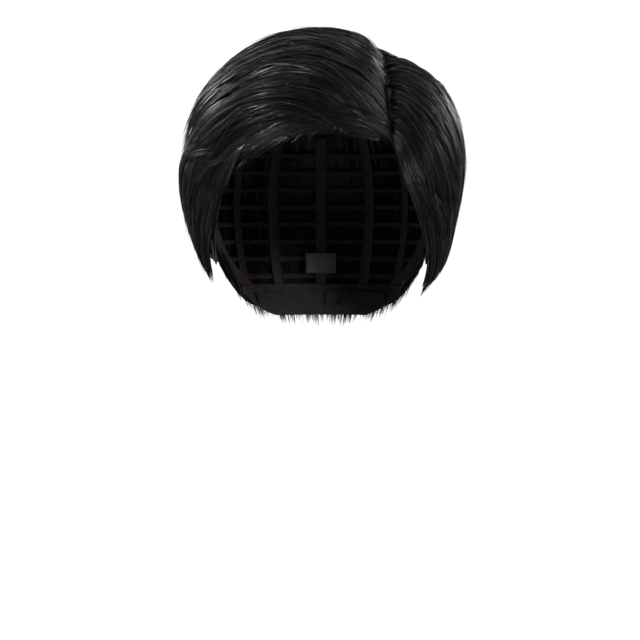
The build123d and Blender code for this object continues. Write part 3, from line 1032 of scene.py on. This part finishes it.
def add_nets():
    """The crown's stretch net and the temple nets, as knotted threads."""
    crown_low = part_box("crown_net")[0][2] / MM

    def on_crown(points):
        return (points[:, 2] > crown_low) & behind_rim(points, NET_INSET)

    lines = net_lines(crown_dome, HEAD_HALF, NET_CELL, on_crown)
    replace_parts(tube_piece("crown_net_threads", lines, NET_THREAD, "stretch_net"), "crown_net")
    for name, side in SIGNS.items():
        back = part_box(f"side_net_{name}")[1][1] / MM

        def on_side(points):
            x, y, z = points.T
            fits = (z < crown_low) & (y < back) & (abs(x) > SIDE_NET_GAP)
            return fits & behind_rim(points, NET_INSET)

        lines = net_lines(lambda flat: side_wall(flat, side, NET_MIDDLE), SIDE_FIELD, NET_CELL, on_side)
        piece = tube_piece(f"side_net_{name}_threads", lines, NET_THREAD, "stretch_net")
        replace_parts(piece, f"side_net_{name}")


def add_front_lace():
    """The fine lace along the hairline, as a small six-sided net on both sides of the forehead."""
    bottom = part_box("front_lace")[0][2] / MM
    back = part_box("front_lace")[1][1] / MM

    def inside(points):
        x, y, z = points.T
        fits = (z > bottom) & (y < back) & (abs(x) > LACE_GAP)
        return fits & behind_rim(points, LACE_EDGES[0]) & ~behind_rim(points, LACE_EDGES[1])

    lines = []
    for side in SIGNS.values():
        lines += net_lines(lambda flat: side_wall(flat, side, LACE_MIDDLE), LACE_FIELD, LACE_CELL, inside)
    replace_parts(tube_piece("front_lace_net", lines, LACE_THREAD, "fine_lace"), "front_lace")


def add_tab_binding(side):
    """A rolled binding and a row of stitches round an ear tab, which turn with it."""
    sign, body = SIGNS[side], f"ear_{side}"
    edge = through(TAB_EDGE, np.linspace(0, 1, 60))
    roll = side_line(edge, sign, ROLL_MIDDLE)
    tube_piece(f"ear_tab_{side}_binding", [roll], TAB_ROLL_RADIUS, "cap_lining", body)
    middle = np.mean(TAB_EDGE, axis=0)
    seam = side_line(middle + (edge - middle) * TAB_SEAM, sign, LINING_FACE)
    stitch_piece(f"ear_tab_{side}_stitches", cut_stitches(seam), "cap_lining", body)


def band_piece(name, low, high, slot):
    """A closed band of its slot's cloth between two faces, each a grid of points."""
    return new_piece(name, closed_mesh(name, high, low), [cloth_material(slot)])


def add_strap(side):
    """A ribbed elastic strap from the nape band to its adjuster pad."""
    sign = SIGNS[side]
    u, v = np.meshgrid(np.linspace(0, 1, 150), np.linspace(0, 1, 41), indexing="ij")
    angle = STRAP_SPAN[0] + (STRAP_SPAN[1] - STRAP_SPAN[0]) * u
    z = STRAP_Z[0] + (STRAP_Z[1] - STRAP_Z[0]) * v
    rib = STRAP_RIBS[1] * np.cos(v * math.tau * STRAP_RIBS[0])
    rib = rib + STRAP_PICKS[1] * np.cos(u * math.tau * STRAP_PICKS[0])
    thick = STRAP_HALF + STRAP_GRIP * np.clip(1 - u / 0.07, 0, 1) ** 0.5 + rib
    faces = [nape_point(sign * angle, z, STRAP_DEPTH + thick * way) for way in (-1, 1)]
    strap = band_piece(f"elastic_strap_{side}", *faces, "elastic")
    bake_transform(strap)
    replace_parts(strap, f"adjuster_strap_{side}")


def add_pad_detail(side):
    """Box stitching on an adjuster pad's inner face and rows of small hooks on its outer face."""
    sign, body = SIGNS[side], f"adjuster_{side}"
    (left, right), (low, high) = PAD_SPAN, STRAP_Z
    box = [(left, low), (right, low), (right, high), (left, high), (left, low)]
    corners = box + [(right, high), (right, low), (left, high)]
    stitches = []
    for (a, z), (b, w) in zip(corners, corners[1:]):
        stitches += cut_stitches(nape_point(sign * np.linspace(a, b, 30), np.linspace(z, w, 30), PAD_FACE))
    stitch_piece(f"pad_stitches_{side}", stitches, "hook_tape", body)
    hooks = []
    bend = np.linspace(0, HOOK_CURL, 5)
    for row, angle in enumerate(np.arange(left, right, HOOK_STEP / 1.1)):
        for z in np.arange(HOOK_Z[0] + 0.4 * (row % 2), HOOK_Z[1], HOOK_STEP):
            lean = sign * (angle + HOOK_LEAN * (1 - np.cos(bend)))
            hooks.append(nape_point(lean, z + 0 * bend, PAD_BACK + HOOK_HIGH * np.sin(bend)))
    moulded = bpy.data.materials["moulded_hooks"]
    tube_piece(f"pad_hooks_{side}", hooks, HOOK_RADIUS, "hook_tape", body, moulded)


def add_label():
    """The blank size label: a small woven cloth, sewn at its ends to the middle tape."""
    u, v = np.meshgrid(np.linspace(-1, 1, 67), np.linspace(0, 1, 43), indexing="ij")
    curl = LABEL_CURL * np.sin(v * math.pi) * u**2 + LABEL_WAVE * np.sin(u * 9 + v * 4)
    z = LABEL_Z[0] + (LABEL_Z[1] - LABEL_Z[0]) * v
    weave = LABEL_WEAVE[2] * np.cos(u * LABEL_WEAVE[0]) * np.cos(v * LABEL_WEAVE[1])
    faces = [
        ring_point(u * LABEL_HALF / LABEL_REACH, z, LABEL_OUT - curl + weave + way * LABEL_THICK)
        for way in (-1, 1)
    ]
    label = band_piece("blank_label", *faces, "label")
    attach(label, "root")
    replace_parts(label, "size_label")
    stitches = []
    for side in (1, -1):
        ends = np.linspace(LABEL_Z[0] + 0.6, LABEL_Z[1] - 0.6, 30)
        turn = np.full(30, side * (LABEL_HALF - 1.0) / LABEL_REACH)
        share = (ends - LABEL_Z[0]) / (LABEL_Z[1] - LABEL_Z[0])
        curl = LABEL_SEAM_CURL * np.sin(share * math.pi) + LABEL_SEAM_RISE
        stitches += cut_stitches(ring_point(turn, ends, LABEL_OUT - curl))
    sewn = stitch_piece("label_stitches", stitches, "label")


# Scales of the textures, with 1 for a metre, and how a cloth's relief (as painted shade, darker in the
# weave's valleys) and wear give its tone.
WAVE_PERIOD = 0.314
CLOUD_SCALE = 60
FUZZ_SCALE = 2500
KNOT_SCALE = 620
HOOK_SCALE = 900
GRAIN_SCALE = (4000, 4000, 120)
TONE_SPREAD = (1.6, 0.05)
CLOTH_GLOSS = 0.35
SKIN = (0.5, 0.34, 0.25)
KNOT_ENDS = (0.16, 0.26)
# Looks of the cap's cloths: colour of the valleys, darker as painted shade, and of the threads, thread
# pitch in mm across and along, the weave's turn in degrees, its depth in mm, roughness and sheen.
CLOTHS = {
    "lace_tape": ((0.014, 0.011, 0.011), (0.05, 0.042, 0.04), (0.9, 0.45), 0, 0.10, 0.62, 0.25),
    "stretch_net": ((0.016, 0.013, 0.012), (0.05, 0.04, 0.037), (0.4, 0.4), 45, 0.05, 0.6, 0.2),
    "fine_lace": ((0.03, 0.02, 0.017), (0.085, 0.06, 0.05), (0.25, 0.25), 45, 0.03, 0.6, 0.1),
    "cap_lining": ((0.014, 0.01, 0.01), (0.05, 0.039, 0.036), (0.7, 0.5), 38, 0.08, 0.82, 0.5),
    "weft": ((0.006, 0.005, 0.006), (0.034, 0.029, 0.028), (0.32, 2.4), 0, 0.12, 0.45, 0.0),
    "elastic": ((0.008, 0.007, 0.007), (0.04, 0.036, 0.036), (1.0, 0.4), 90, 0.08, 0.55, 0.15),
    "loop_tape": ((0.01, 0.009, 0.009), (0.045, 0.04, 0.04), (0.45, 0.5), 20, 0.22, 0.9, 0.7),
    "label": ((0.012, 0.011, 0.011), (0.07, 0.065, 0.062), (0.5, 0.33), 0, 0.05, 0.6, 0.0),
    "sewing_thread": ((0.02, 0.018, 0.018), (0.07, 0.062, 0.06), (0.35, 0.35), 40, 0.03, 0.5, 0.1),
}


def cloth_material(name):
    """Woven cloth: crossed ribs of thread for its relief, painted shade that darkens the colour in their
    valleys, and cloudy wear over them.
    """
    if name in bpy.data.materials:
        return bpy.data.materials[name]
    dark, light, pitch, turn, depth, roughness, sheen = CLOTHS[name]
    material, tree, inputs = new_material(name, roughness, dark)
    ribs = []
    for number, step in enumerate(pitch):
        place = mapped_place(tree, "Rotation", (0, math.radians(turn + 90 * number), 0))
        wave = texture(tree, "Wave", place, WAVE_PERIOD / (step * MM), Distortion=0.6, Detail=1.0)
        ribs.append(wave["Fac"])
    relief = math_node(tree, "MULTIPLY", *ribs)
    cloud = texture(tree, "Noise", own_place(tree), CLOUD_SCALE, Detail=5.0)["Fac"]
    fuzz = texture(tree, "Noise", own_place(tree), FUZZ_SCALE)["Fac"]
    # The colour is darker where the weave's relief is low: painted shade in its valleys, times cloudy wear.
    tone = math_node(tree, "MULTIPLY", relief, cloud)
    colour_ramp(tree, math_node(tree, "MULTIPLY_ADD", tone, *TONE_SPREAD), dark, light)
    add_bump(tree, math_node(tree, "ADD", relief, fuzz), depth)
    inputs["Sheen Weight"].default_value = sheen
    inputs["Specular IOR Level"].default_value = CLOTH_GLOSS
    return material


def skin_material():
    """The parting patch: a skin-toned film with a dark knot where each hair is tied in."""
    material, tree = new_material("parting_film", 0.55, SKIN)[:2]
    knots = texture(tree, "Voronoi", own_place(tree), KNOT_SCALE)["Distance"]
    colour_ramp(tree, knots, (0.03, 0.02, 0.018), SKIN, KNOT_ENDS)
    add_bump(tree, knots, 0.05)
    return material


def hook_material():
    """Moulded hook tape: black nylon with fine rows of feet."""
    material, tree = new_material("moulded_hooks", 0.42, (0.018, 0.018, 0.019))[:2]
    feet = texture(tree, "Voronoi", own_place(tree), HOOK_SCALE)["Distance"]
    colour_ramp(tree, feet, (0.035, 0.035, 0.037), (0.012, 0.012, 0.013))
    add_bump(tree, feet, 0.1)
    return material


def steel_material():
    """Flat soft steel, drawn lengthwise."""
    material, tree, inputs = new_material("drawn_steel", 0.34, (0.55, 0.55, 0.56))
    inputs["Metallic"].default_value = 1.0
    grain = texture(tree, "Noise", mapped_place(tree, "Scale", GRAIN_SCALE), 1.0)["Fac"]
    colour_ramp(tree, grain, (0.36, 0.36, 0.37), (0.66, 0.66, 0.67))
    add_bump(tree, grain, 0.02)
    return material


def dress_nodes():
    """Gives every CAD node that stays in view the material of its slot."""
    special = {"part_skin": skin_material(), "hook_tape": hook_material(), "stay_wire": steel_material()}
    for row in frame["record"]["subparts"]:
        slot = row["material_slot"]
        if slot != "hair":
            materials = frame["nodes"][row["node"]].data.materials
            materials.clear()
            materials.append(special.get(slot) or cloth_material(slot))


def make_cap():
    dress_nodes()
    add_band_sewing()
    add_nape_sewing()
    add_weft_sewing()
    add_tape_lace()
    add_nets()
    add_front_lace()
    for side in SIGNS:
        add_tab_binding(side)
        add_strap(side)
        add_pad_detail(side)
    add_label()


make_camera()
make_lights()
make_stage()
make_cap()
make_hair()
